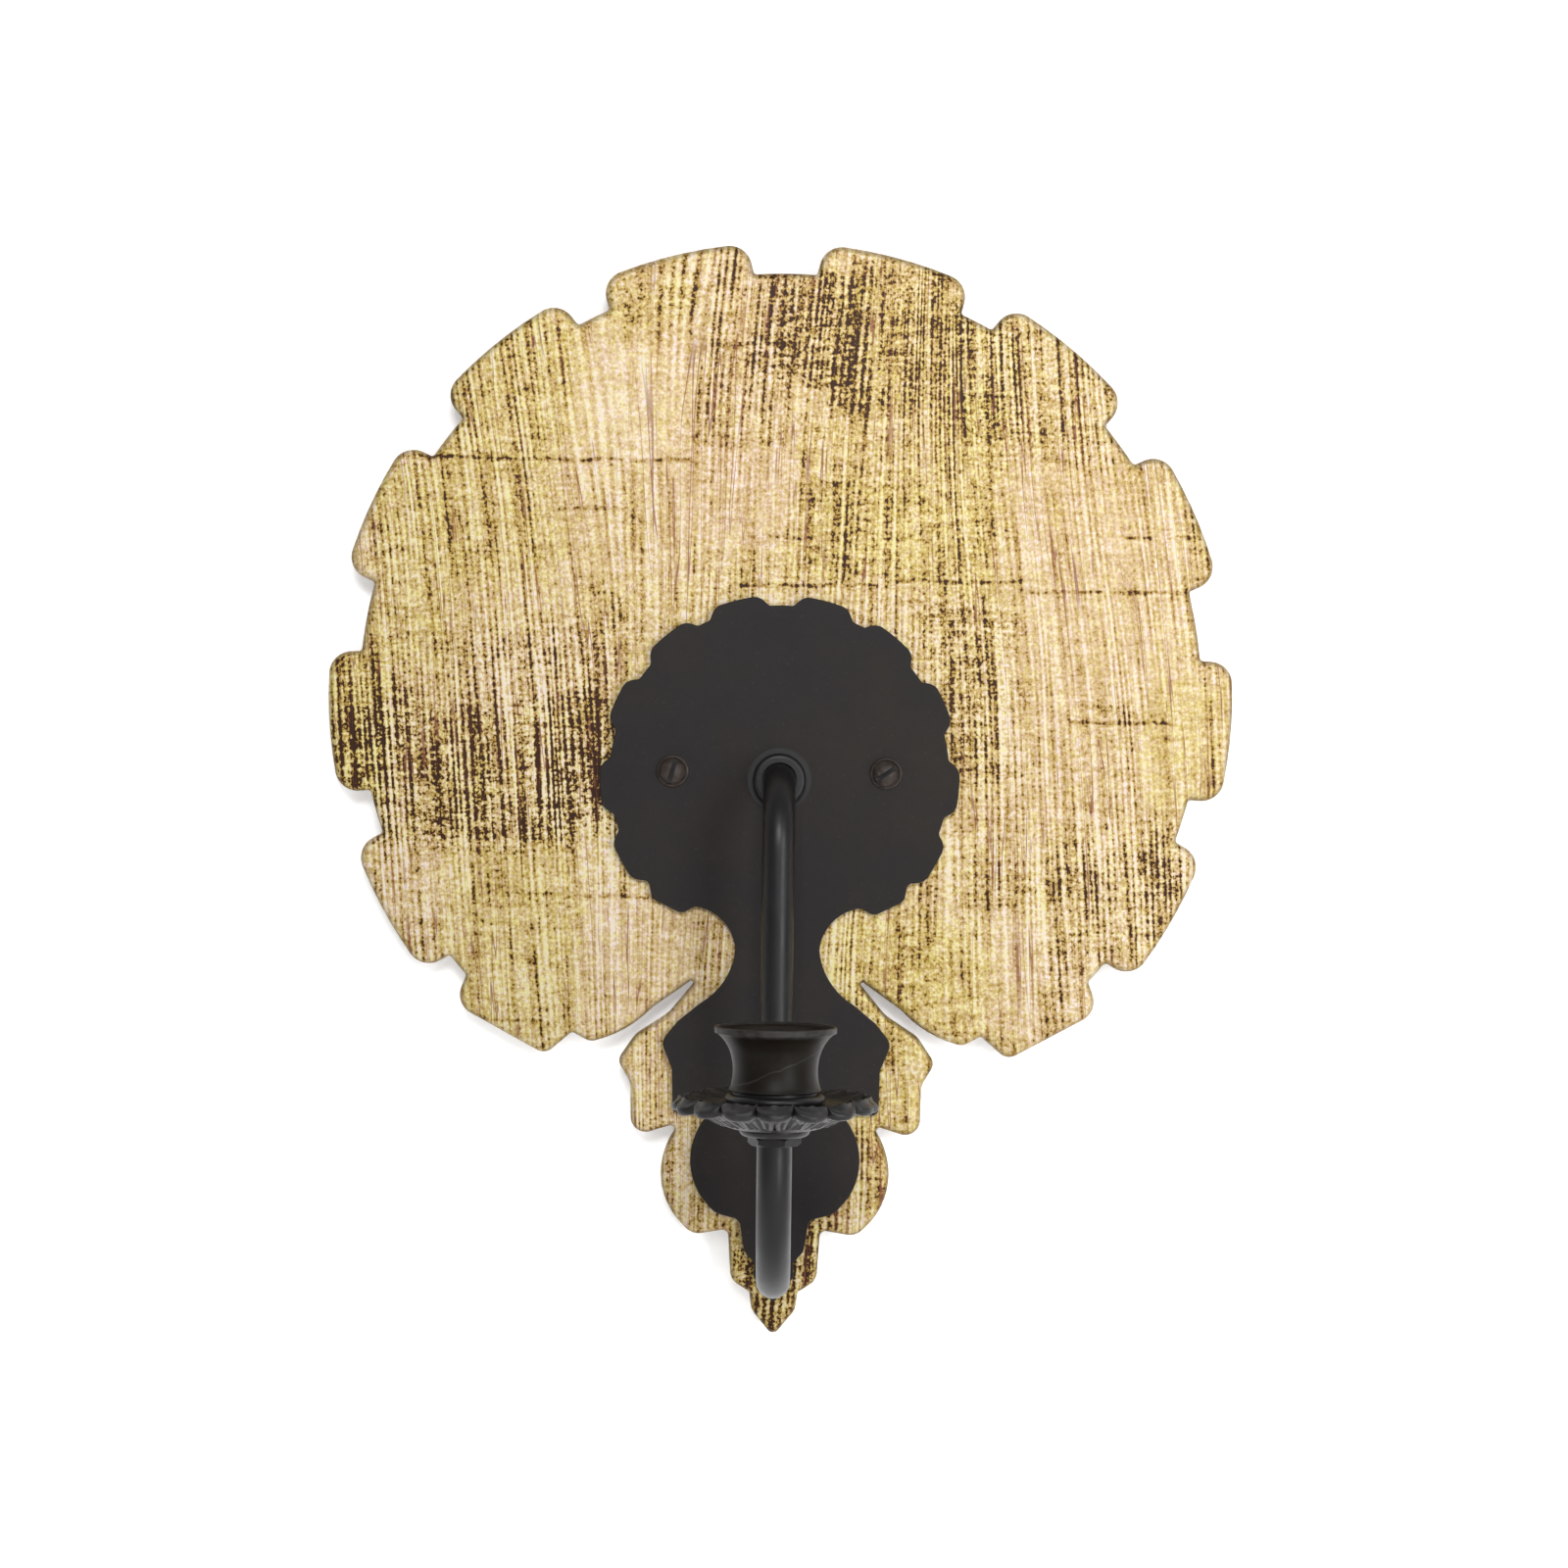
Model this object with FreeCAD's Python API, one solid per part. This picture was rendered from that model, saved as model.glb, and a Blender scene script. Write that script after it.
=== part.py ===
"""Wall sconce candle holder: a gilded leaf-shaped panel, a dark plate, and a crook arm with a candle cup.

Millimetres, +Z up.  The wall is the plane Y = 0 and the sconce stands out of it towards -Y.
The origin is on the wall, on the axis of the arm's stub, midway between the two wall screws.
"""
import FreeCAD
import Part
import math
import os

os.makedirs("parts", exist_ok=True)

# ---- driving dimensions ---------------------------------------------------------------------
SCREW_SPACING = 70.0          # the two fixture screws, centre to centre
SCREW_HEIGHT = 2.5            # their height above the arm's stub

WALL_GAP = 8.0                # room behind the gilded panel for the bracket and the nuts
PANEL_THICK = 6.0
PLATE_THICK = 3.0
PANEL_BACK = -WALL_GAP
PANEL_FRONT = PANEL_BACK - PANEL_THICK
PLATE_FRONT = PANEL_FRONT - PLATE_THICK

# The same fan of square-ended petals edges both medallions: start and end of each, in degrees
# from straight up.
PETALS = ((4.6, 24.4), (29.7, 49.4), (56.6, 74.9), (85.0, 103.5), (110.1, 128.6))

PANEL_CENTRE = 28.2           # height of the gilded medallion's centre
PANEL_ROOT_R = 138.8          # radius of its disc
PANEL_PETAL_R = 149.0         # radius over its petals
PLATE_CENTRE = 1.6
PLATE_ROOT_R = 55.7
PLATE_PETAL_R = 59.1

TUBE_R = 5.15                 # 1/8 pipe size, the common lamp and sconce tube
TUBE_BORE_R = 3.4
BACK_LEG = PLATE_FRONT - 32.0  # Y of the leg behind the cup
FRONT_LEG = PLATE_FRONT - 116.0  # Y of the leg that carries the cup
ELBOW_R = 22.0
CROOK_R = (BACK_LEG - FRONT_LEG) / 2
CROOK_CENTRE_Z = -109.9
TUBE_REAR_END = -1.5
TUBE_TOP_END = -85.8

CANDLE_R = 11.3               # bore for a 22 mm candle
CUP_RIM_R = 17.9
CUP_TOP = -71.9
CUP_BOTTOM = -90.3
CUP_LEDGE = -85.6             # the candle stands on this ledge, over the nut's pocket
SEAT_RING_BOTTOM = -93.9      # also the floor of the drip pan
PAN_R = 30.2
PAN_BOTTOM = -101.2
BOSS_BOTTOM = -103.4
LOCKNUT_BOTTOM = -106.0

RUN_CLEARANCE = 0.05          # radial, where a part turns or slides on another
FIT_CLEARANCE = 0.02          # radial, between fixed parts that fill each other's holes

M5_R = 2.5
M5_CLEARANCE_R = 2.75
SCREW_TIP = -1.2

STRAP_HALF_HEIGHT = 17.0
STRAP_THICK = 2.0
STRAP_WEB_HALF = 48.0
STRAP_END = 68.0
STRAP_HOLE_R = 12.0
BEND_R = 1.0
WALL_SCREW_SPACING = 116.0
WALL_SLOT_R = 2.25
WALL_SLOT_LENGTH = 10.0

Y_AXIS = FreeCAD.Vector(0, 1, 0)
Z_AXIS = FreeCAD.Vector(0, 0, 1)


# ---- helpers --------------------------------------------------------------------------------
def vec(x, y, z):
    return FreeCAD.Vector(x, y, z)


def save(shape, node):
    """Write one closed solid, or a group of them, to its own file."""
    shape = shape.removeSplitter()
    solids = shape.Solids
    good = bool(solids) and all(s.isValid() and s.isClosed() for s in solids)
    print(f"{node:22s} solids {len(solids)}  volume {shape.Volume:10.1f}  ok {good}")
    shape.exportStep(f"parts/{node}.step")


def cylinder_y(radius, y_front, y_back, x=0.0, z=0.0):
    """A cylinder along Y from its front face to its back face."""
    return Part.makeCylinder(radius, y_back - y_front, vec(x, y_front, z), Y_AXIS)


def cylinder_z(radius, z_low, z_high):
    """A cylinder standing on the front leg's axis."""
    return Part.makeCylinder(radius, z_high - z_low, vec(0, FRONT_LEG, z_low), Z_AXIS)


def hexagon(across_flats, turn_deg=0.0):
    """The corners of a hexagon as (a, b) pairs round the origin."""
    corner_r = across_flats / math.sqrt(3)
    angles = [math.radians(turn_deg + 60 * k) for k in range(6)]
    return [(corner_r * math.cos(a), corner_r * math.sin(a)) for a in angles]


def nut_y(across_flats, bore_r, y_front, y_back, x=0.0, z=0.0):
    """A hexagon nut with its axis along Y."""
    corners = [vec(x + a, y_front, z + b) for a, b in hexagon(across_flats)]
    face = Part.Face(Part.makePolygon(corners + corners[:1]))
    body = face.extrude(vec(0, y_back - y_front, 0))
    return body.cut(cylinder_y(bore_r, y_front - 1, y_back + 1, x, z))


def nut_z(across_flats, bore_r, z_low, z_high, turn_deg):
    """A hexagon nut on the front leg's axis, with its corners chamfered."""
    corners = [vec(a, FRONT_LEG + b, z_low) for a, b in hexagon(across_flats, turn_deg)]
    body = Part.Face(Part.makePolygon(corners + corners[:1])).extrude(vec(0, 0, z_high - z_low))
    corner_r = across_flats / math.sqrt(3)
    flat_r = across_flats / 2
    rise = (corner_r - flat_r) * 0.7
    envelope = turned([(0, z_low), (flat_r, z_low), (corner_r + 0.1, z_low + rise),
                       (corner_r + 0.1, z_high - rise), (flat_r, z_high), (0, z_high)])
    return body.common(envelope).cut(cylinder_z(bore_r, z_low - 1, z_high + 1))


def turned(steps):
    """Turn a closed profile about the front leg's axis.

    A step is (r, z) for a straight run, or (mid_r, mid_z, r, z) for an arc through its midpoint.
    """
    def point(r, z):
        return vec(r, FRONT_LEG, z)

    edges = []
    here = point(*steps[0])
    for step in list(steps[1:]) + [steps[0]]:
        there = point(*step[-2:])
        if len(step) == 4:
            edges.append(Part.Arc(here, point(*step[:2]), there).toShape())
        else:
            edges.append(Part.LineSegment(here, there).toShape())
        here = there
    return Part.Face(Part.Wire(edges)).revolve(vec(0, FRONT_LEG, 0), Z_AXIS, 360)


def polar(radius, degrees, centre_z):
    """A point of a medallion, measured from straight up towards +X."""
    angle = math.radians(degrees)
    return radius * math.sin(angle), centre_z + radius * math.cos(angle)


def medallion(centre_z, root_r, petal_r, foot_spread, crown_inset, foot_fillet, crown_fillet):
    """The petalled edge as steps (mid, end, fillet), from the top round to the fifth petal."""
    steps = []
    last = 0.0
    for start, end in PETALS:
        foot, crown = start - foot_spread, start + crown_inset
        crown_end, foot_end = end - crown_inset, end + foot_spread
        steps.append((polar(root_r, (last + foot) / 2, centre_z), polar(root_r, foot, centre_z), foot_fillet))
        steps.append((None, polar(petal_r, crown, centre_z), crown_fillet))
        steps.append((polar(petal_r, (start + end) / 2, centre_z), polar(petal_r, crown_end, centre_z),
                      crown_fillet))
        steps.append((None, polar(root_r, foot_end, centre_z), foot_fillet))
        last = foot_end
    return steps, last


def leaf_plate(top_z, steps, y_front, y_back):
    """Mirror a half outline about X = 0, extrude it along Y and round its upright corners.

    A step is (midpoint or None, end point, fillet radius at the end).  The outline starts at
    (0, top_z) and its last step ends on X = 0.
    """
    def outline_edge(start, mid, end, side):
        ends = [vec(side * p[0], y_front, p[1]) for p in (start, end)]
        if mid is None:
            return Part.LineSegment(*ends).toShape()
        return Part.Arc(ends[0], vec(side * mid[0], y_front, mid[1]), ends[1]).toShape()

    edges = []
    for side in (1, -1):
        here = (0.0, top_z)
        for mid, end, _ in steps:
            edges.append(outline_edge(here, mid, end, side))
            here = end
    wire = Part.Wire(Part.__sortEdges__(edges))
    solid = Part.Face(wire).extrude(vec(0, y_back - y_front, 0))

    fillets = {}
    for _, (x, z), radius in steps:
        if radius > 0:
            fillets.setdefault(radius, []).extend({(x, z), (-x, z)})
    for radius, corners in sorted(fillets.items()):
        picked = [edge for edge in solid.Edges
                  if is_upright(edge) and near_any(edge.Vertexes[0].Point, corners)]
        solid = solid.makeFillet(radius, picked)
    return solid


def is_upright(edge):
    """True for a straight edge along Y."""
    if len(edge.Vertexes) != 2:
        return False
    a, b = (v.Point for v in edge.Vertexes)
    return abs(a.x - b.x) < 1e-6 and abs(a.z - b.z) < 1e-6


def near_any(point, corners):
    return any(math.hypot(point.x - x, point.z - z) < 1e-4 for x, z in corners)


def edges_on_outline(solid, y):
    """The edges that lie in the plane Y = y."""
    boxes = [(edge, edge.BoundBox) for edge in solid.Edges]
    return [edge for edge, box in boxes if abs(box.YMin - y) < 1e-6 and abs(box.YMax - y) < 1e-6]


# ---- gilded panel and dark plate ------------------------------------------------------------
def panel_steps():
    """Half outline of the gilded panel: medallion, slit, stem leaves, lobe and tip."""
    steps, last = medallion(PANEL_CENTRE, PANEL_ROOT_R, PANEL_PETAL_R, 0.3, 0.3, 1.2, 7.5)
    foot = 132.4
    steps.append((polar(PANEL_ROOT_R, (last + foot) / 2, PANEL_CENTRE),
                  polar(PANEL_ROOT_R, foot, PANEL_CENTRE), 1.2))
    steps += [
        (None, (106.4, -75.0), 7.0),                 # lowest petal, cut off by the slit
        (None, (76.2, -91.4), 4.5),
        (None, (67.4, -83.8), 1.2),
        (None, (61.5, -87.0), 4.5),                  # small round lobe on the slit's upper side
        ((52.2, -83.8), (41.0, -75.4), 10.0),
        (None, (24.9, -64.0), 0.6),                  # tip of the slit
        (None, (35.8, -77.2), 12.0),
        (None, (46.5, -84.2), 8.0),
        (None, (52.4, -92.8), 3.5),                  # shoulder of the stem leaf
        (None, (48.0, -100.2), 6.0),
        (None, (47.6, -118.3), 5.0),
        (None, (31.2, -113.2), 1.2),                 # notch over the round lobe
        ((37.6, -130.0), (31.9, -145.2), 10.0),
        (None, (27.0, -150.2), 6.0),
        (None, (15.2, -148.2), 2.0),
        (None, (14.2, -164.8), 5.0),
        (None, (8.0, -168.8), 1.2),
        (None, (7.2, -174.6), 4.0),
        (None, (0.0, -183.4), 2.2),
    ]
    return steps


def plate_steps():
    """Half outline of the dark plate, a small sister of the panel with softer petals."""
    steps, last = medallion(PLATE_CENTRE, PLATE_ROOT_R, PLATE_PETAL_R, 0.5, 2.6, 1.5, 4.6)
    foot = 130.6
    steps.append((polar(PLATE_ROOT_R, (last + foot) / 2, PLATE_CENTRE),
                  polar(PLATE_ROOT_R, foot, PLATE_CENTRE), 1.0))
    steps += [
        (None, (41.4, -39.4), 3.2),                  # lowest petal
        (None, (31.6, -44.2), 3.2),
        (None, (27.2, -41.8), 2.0),
        ((17.0, -47.6), (13.8, -55.6), 0),           # neck
        ((16.8, -65.2), (25.1, -73.6), 10.0),
        (None, (32.6, -79.8), 2.5),
        (None, (37.8, -86.2), 4.0),                  # stem leaf
        (None, (34.1, -95.2), 3.0),
        (None, (33.8, -109.9), 2.4),
        (None, (21.6, -109.6), 1.0),
        ((27.8, -124.6), (24.0, -137.2), 0),         # round lobe
        (None, (19.6, -142.3), 7.0),
        (None, (11.4, -144.4), 3.0),
        (None, (9.8, -154.6), 2.5),
        (None, (6.4, -158.4), 0.8),
        (None, (6.6, -163.2), 2.5),
        (None, (0.0, -171.8), 1.2),
    ]
    return steps


def drilled(solid, stub_hole_r, screw_hole_r, y_front, y_back):
    """Drill the arm's hole and the two screw holes through a plate."""
    solid = solid.cut(cylinder_y(stub_hole_r, y_front - 1, y_back + 1))
    for side in (-1, 1):
        x = side * SCREW_SPACING / 2
        solid = solid.cut(cylinder_y(screw_hole_r, y_front - 1, y_back + 1, x, SCREW_HEIGHT))
    return solid


def gold_panel():
    solid = leaf_plate(PANEL_CENTRE + PANEL_ROOT_R, panel_steps(), PANEL_FRONT, PANEL_BACK)
    edge_round = 2.4
    solid = solid.makeFillet(edge_round, edges_on_outline(solid, PANEL_FRONT))
    return drilled(solid, TUBE_R + 0.15, M5_CLEARANCE_R, PANEL_FRONT, PANEL_BACK)


def dark_plate():
    solid = leaf_plate(PLATE_CENTRE + PLATE_ROOT_R, plate_steps(), PLATE_FRONT, PANEL_FRONT)
    edge_break = 0.4
    solid = solid.makeFillet(edge_break, edges_on_outline(solid, PLATE_FRONT))
    return drilled(solid, TUBE_R + 0.15, M5_CLEARANCE_R, PLATE_FRONT, PANEL_FRONT)


# ---- wall bracket and its fasteners ---------------------------------------------------------
def wall_bracket():
    """Hat-shaped steel strap: two feet on the wall and a web that the panel sits on."""
    web_front, web_back = PANEL_BACK, PANEL_BACK + STRAP_THICK
    inner = STRAP_WEB_HALF - STRAP_THICK
    half = [(STRAP_WEB_HALF, web_front), (STRAP_WEB_HALF, -STRAP_THICK), (STRAP_END, -STRAP_THICK),
            (STRAP_END, 0.0), (inner, 0.0), (inner, web_back)]
    loop = half + [(-x, y) for x, y in reversed(half)]
    points = [vec(x, y, -STRAP_HALF_HEIGHT) for x, y in loop]
    solid = Part.Face(Part.makePolygon(points + points[:1])).extrude(vec(0, 0, 2 * STRAP_HALF_HEIGHT))
    inside_bends = [(STRAP_WEB_HALF, -STRAP_THICK), (inner, web_back)]
    outside_bends = [(STRAP_WEB_HALF, web_front), (inner, 0.0)]
    for radius, bends in ((BEND_R, inside_bends), (BEND_R + STRAP_THICK, outside_bends)):
        picked = [edge for edge in solid.Edges if along_z_at(edge, bends)]
        solid = solid.makeFillet(radius, picked)
    solid = solid.cut(cylinder_y(STRAP_HOLE_R, web_front - 1, web_back + 1))
    for side in (-1, 1):
        solid = solid.cut(cylinder_y(M5_CLEARANCE_R, web_front - 1, web_back + 1,
                                     side * SCREW_SPACING / 2, SCREW_HEIGHT))
        solid = solid.cut(wall_slot(side * WALL_SCREW_SPACING / 2))
    return solid


def along_z_at(edge, places):
    """True for an edge along Z at one of the (x, y) places, or at its mirror image."""
    box = edge.BoundBox
    level = box.XLength + box.YLength
    return level < 1e-6 and any(math.hypot(abs(box.XMin) - x, box.YMin - y) < 1e-6 for x, y in places)


def wall_slot(x):
    """A level slot through a foot of the bracket."""
    half_run = WALL_SLOT_LENGTH / 2 - WALL_SLOT_R
    y_front, y_back = -STRAP_THICK - 1, 1.0
    middle = Part.makeBox(2 * half_run, y_back - y_front, 2 * WALL_SLOT_R,
                          vec(x - half_run, y_front, -WALL_SLOT_R))
    ends = [cylinder_y(WALL_SLOT_R, y_front, y_back, x + side * half_run) for side in (-1, 1)]
    return middle.fuse(ends)


def bracket_nut(side):
    """Weld nut on the back of the web for one fixture screw."""
    across_flats, length = 8.0, 3.6
    y_front = PANEL_BACK + STRAP_THICK
    return nut_y(across_flats, M5_R, y_front, y_front + length, side * SCREW_SPACING / 2, SCREW_HEIGHT)


SCREW_WASHER_THICK = 1.2
SCREW_HEAD_R = 4.6
SCREW_HEAD_HEIGHT = 3.4


def mounting_screw(side, slot_deg):
    """Slotted round-head screw; slot_deg is the slot's direction, from +X towards +Z."""
    x, z = side * SCREW_SPACING / 2, SCREW_HEIGHT
    seat = PLATE_FRONT - SCREW_WASHER_THICK
    top = seat - SCREW_HEAD_HEIGHT
    skirt = 0.7                                     # height of the head's straight side
    here, rim = vec(x, top, z), vec(x + SCREW_HEAD_R, seat - skirt, z)
    bow = vec(x + SCREW_HEAD_R * 0.66, top + 0.75, z)
    edges = [Part.Arc(here, bow, rim).toShape(),
             Part.LineSegment(rim, vec(x + SCREW_HEAD_R, seat, z)).toShape(),
             Part.LineSegment(vec(x + SCREW_HEAD_R, seat, z), vec(x, seat, z)).toShape(),
             Part.LineSegment(vec(x, seat, z), here).toShape()]
    head = Part.Face(Part.Wire(edges)).revolve(vec(x, 0, z), Y_AXIS, 360)
    slot_width, slot_depth = 1.4, 1.8
    slot = Part.makeBox(4 * SCREW_HEAD_R, slot_depth + 1, slot_width,
                        vec(x - 2 * SCREW_HEAD_R, top - 1, z - slot_width / 2))
    slot.rotate(vec(x, 0, z), Y_AXIS, -slot_deg)
    shank = cylinder_y(M5_R - RUN_CLEARANCE, seat, SCREW_TIP, x, z)
    return head.cut(slot).fuse(shank)


def screw_washer(side):
    """Raised ring washer under a fixture screw's head."""
    x, z = side * SCREW_SPACING / 2, SCREW_HEIGHT
    outer_r = 5.2
    ring = cylinder_y(outer_r, PLATE_FRONT - SCREW_WASHER_THICK, PLATE_FRONT, x, z)
    front = [e for e in ring.Edges if abs(e.BoundBox.YMax - (PLATE_FRONT - SCREW_WASHER_THICK)) < 1e-6]
    ring = ring.makeFillet(0.5, front)
    return ring.cut(cylinder_y(M5_CLEARANCE_R, -100, 0, x, z))


BUMPER_R = 6.0
BUMPER_PLACES = {"top": (0, 140), "left": (-112, 28), "right": (112, 28), "bottom": (0, -128)}


def wall_bumper(x, z):
    """Round rubber foot between the panel's back and the wall."""
    return cylinder_y(BUMPER_R, PANEL_BACK, 0, x, z)


# ---- arm ------------------------------------------------------------------------------------
def arm_path():
    """Centre line of the tube: out of the wall, down behind the cup, round the crook and up."""
    bend = math.sqrt(0.5)
    elbow_y, elbow_z = BACK_LEG + ELBOW_R, -ELBOW_R
    crook_y = (BACK_LEG + FRONT_LEG) / 2
    stub_end = vec(0, elbow_y, 0)
    leg_top = vec(0, BACK_LEG, elbow_z)
    leg_bottom = vec(0, BACK_LEG, CROOK_CENTRE_Z)
    rise_bottom = vec(0, FRONT_LEG, CROOK_CENTRE_Z)
    elbow_mid = vec(0, elbow_y - ELBOW_R * bend, elbow_z + ELBOW_R * bend)
    crook_mid = vec(0, crook_y, CROOK_CENTRE_Z - CROOK_R)
    return Part.Wire([
        Part.LineSegment(vec(0, TUBE_REAR_END, 0), stub_end).toShape(),
        Part.Arc(stub_end, elbow_mid, leg_top).toShape(),
        Part.LineSegment(leg_top, leg_bottom).toShape(),
        Part.Arc(leg_bottom, crook_mid, rise_bottom).toShape(),
        Part.LineSegment(rise_bottom, vec(0, FRONT_LEG, TUBE_TOP_END)).toShape(),
    ])


def arm_tube():
    path = arm_path()

    def swept(radius):
        ring = Part.Wire(Part.Circle(vec(0, TUBE_REAR_END, 0), Y_AXIS, radius).toShape())
        return path.makePipeShell([ring], True, False)

    outer, bore = swept(TUBE_R), swept(TUBE_BORE_R)
    print(f"arm tube length {path.Length:.1f}, section check {outer.Volume / path.Length:.2f}"
          f" against {math.pi * TUBE_R ** 2:.2f}")
    return outer.cut(bore)


def arm_collar():
    """Stepped ring round the stub; its mouth is wider than the tube."""
    base_r, base_thick = 10.5, 0.8
    ring_r, front = 8.7, PLATE_FRONT - 5.5
    mouth_r, mouth_depth = 5.75, 3.2
    base = cylinder_y(base_r, PLATE_FRONT - base_thick, PLATE_FRONT)
    ring = cylinder_y(ring_r, front, PLATE_FRONT)
    outer = [e for e in ring.Edges if abs(e.BoundBox.YMax - front) < 1e-6]
    ring = ring.makeFillet(1.4, outer)
    bore = cylinder_y(TUBE_R + FIT_CLEARANCE, front - 1, PLATE_FRONT + 1)
    mouth = cylinder_y(mouth_r, front - 1, front + mouth_depth)
    return base.fuse(ring).cut(bore).cut(mouth)


ARM_WASHER_THICK = 1.2
ARM_LOCK_THICK = 0.8
ARM_NUT_THICK = 3.4


def arm_washer():
    y_back = PANEL_BACK + ARM_WASHER_THICK
    return cylinder_y(9.0, PANEL_BACK, y_back).cut(cylinder_y(TUBE_R + FIT_CLEARANCE, -50, 0))


def arm_lock_washer():
    """Split spring washer."""
    y_front = PANEL_BACK + ARM_WASHER_THICK
    ring = cylinder_y(7.6, y_front, y_front + ARM_LOCK_THICK)
    ring = ring.cut(cylinder_y(TUBE_R + FIT_CLEARANCE, -50, 0))
    split = Part.makeBox(1.2, ARM_LOCK_THICK + 2, 10, vec(-0.6, y_front - 1, 0))
    return ring.cut(split)


def arm_nut():
    y_front = PANEL_BACK + ARM_WASHER_THICK + ARM_LOCK_THICK
    return nut_y(14.3, TUBE_R + FIT_CLEARANCE, y_front, y_front + ARM_NUT_THICK)


# ---- drip pan, cup and what clamps them -----------------------------------------------------
def pan_locknut():
    return nut_z(13.6, TUBE_R + FIT_CLEARANCE, LOCKNUT_BOTTOM, BOSS_BOTTOM, -7.0)


def pan_seat_ring():
    """Turned ring between the locknut and the pan, rounded towards the nut."""
    bore = TUBE_R + FIT_CLEARANCE
    return turned([(bore, PAN_BOTTOM), (10.3, PAN_BOTTOM), (10.3, PAN_BOTTOM - 0.6),
                   (9.7, -102.9, 7.9, BOSS_BOTTOM), (bore, BOSS_BOTTOM)])


def drip_pan():
    """Cast saucer: flat seat, shallow dish, drooping scalloped rim, bowl-shaped underside."""
    bore = TUBE_R + RUN_CLEARANCE
    blank = turned([(bore, SEAT_RING_BOTTOM), (15.4, SEAT_RING_BOTTOM), (22.0, -93.4), (27.2, -91.9),
                    (28.8, -91.2), (29.7, -91.5, PAN_R, -92.6), (PAN_R, -95.4), (28.6, -96.9),
                    (26.4, -96.9), (24.6, -95.8), (20.6, -96.2), (15.6, -99.5), (11.5, PAN_BOTTOM),
                    (bore, PAN_BOTTOM)])
    lobes, lobe_r = 16, 7.0
    lobe_centre_r = PAN_R - lobe_r
    outline = cylinder_z(24.5, PAN_BOTTOM - 1, -90)
    for k in range(lobes):
        angle = math.radians(360 / lobes * k)
        centre = vec(lobe_centre_r * math.cos(angle), FRONT_LEG + lobe_centre_r * math.sin(angle),
                     PAN_BOTTOM - 1)
        outline = outline.fuse(Part.makeCylinder(lobe_r, 12.2, centre, Z_AXIS))
    return blank.common(outline)


def cup_seat_ring():
    """Bead that the cup stands on, in the pan."""
    bore = TUBE_R + RUN_CLEARANCE
    top = CUP_BOTTOM - 0.9
    return turned([(bore, SEAT_RING_BOTTOM), (13.6, SEAT_RING_BOTTOM), (14.5, -92.6, 13.4, top),
                   (12.2, top), (12.2, CUP_BOTTOM), (bore, CUP_BOTTOM)])


def candle_cup():
    """Cast cup: collar-like lip, waisted side, candle bore and a pocket for the clamping nut."""
    bore = TUBE_R + RUN_CLEARANCE
    floor = CUP_BOTTOM + 1.6
    pocket_r = 8.9
    flare_start = -76.4
    return turned([(bore, CUP_BOTTOM), (13.45, CUP_BOTTOM), (12.5, -87.6, 12.4, -84.6),
                   (13.1, -79.9, 16.9, -74.2), (CUP_RIM_R, -73.9), (CUP_RIM_R, CUP_TOP + 0.3),
                   (CUP_RIM_R - 0.3, CUP_TOP), (16.6, CUP_TOP), (12.7, -74.2, CANDLE_R, flare_start),
                   (CANDLE_R, CUP_LEDGE), (pocket_r, CUP_LEDGE), (pocket_r, floor), (bore, floor)])


CUP_WASHER_THICK = 0.6
CUP_NUT_THICK = 2.1


def cup_washer():
    low = CUP_BOTTOM + 1.6
    high = low + CUP_WASHER_THICK
    return cylinder_z(8.4, low, high).cut(cylinder_z(TUBE_R + RUN_CLEARANCE, low - 1, high + 1))


def cup_nut():
    low = CUP_BOTTOM + 1.6 + CUP_WASHER_THICK
    return nut_z(14.3, TUBE_R + RUN_CLEARANCE, low, low + CUP_NUT_THICK, 12.0)


# ---- the assembly ---------------------------------------------------------------------------
def main():
    save(wall_bracket(), "wall_bracket")
    save(gold_panel(), "gold_panel")
    save(dark_plate(), "dark_plate")
    for name, side, slot_deg in (("left", -1, 74.0), ("right", 1, 33.0)):
        save(bracket_nut(side), f"bracket_nut_{name}")
        save(screw_washer(side), f"screw_washer_{name}")
        save(mounting_screw(side, slot_deg), f"mounting_screw_{name}")
    for name, (x, z) in BUMPER_PLACES.items():
        save(wall_bumper(x, z), f"wall_bumper_{name}")
    save(arm_tube(), "arm_tube")
    save(arm_collar(), "arm_collar")
    save(arm_washer(), "arm_washer")
    save(arm_lock_washer(), "arm_lock_washer")
    save(arm_nut(), "arm_nut")
    save(pan_locknut(), "pan_locknut")
    save(pan_seat_ring(), "pan_seat_ring")
    save(drip_pan(), "drip_pan")
    save(cup_seat_ring(), "cup_seat_ring")
    save(candle_cup(), "candle_cup")
    save(cup_washer(), "cup_washer")
    save(cup_nut(), "cup_nut")


main()
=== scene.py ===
import math

import bmesh
import bpy
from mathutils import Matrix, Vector
from mathutils import noise as wave


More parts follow.
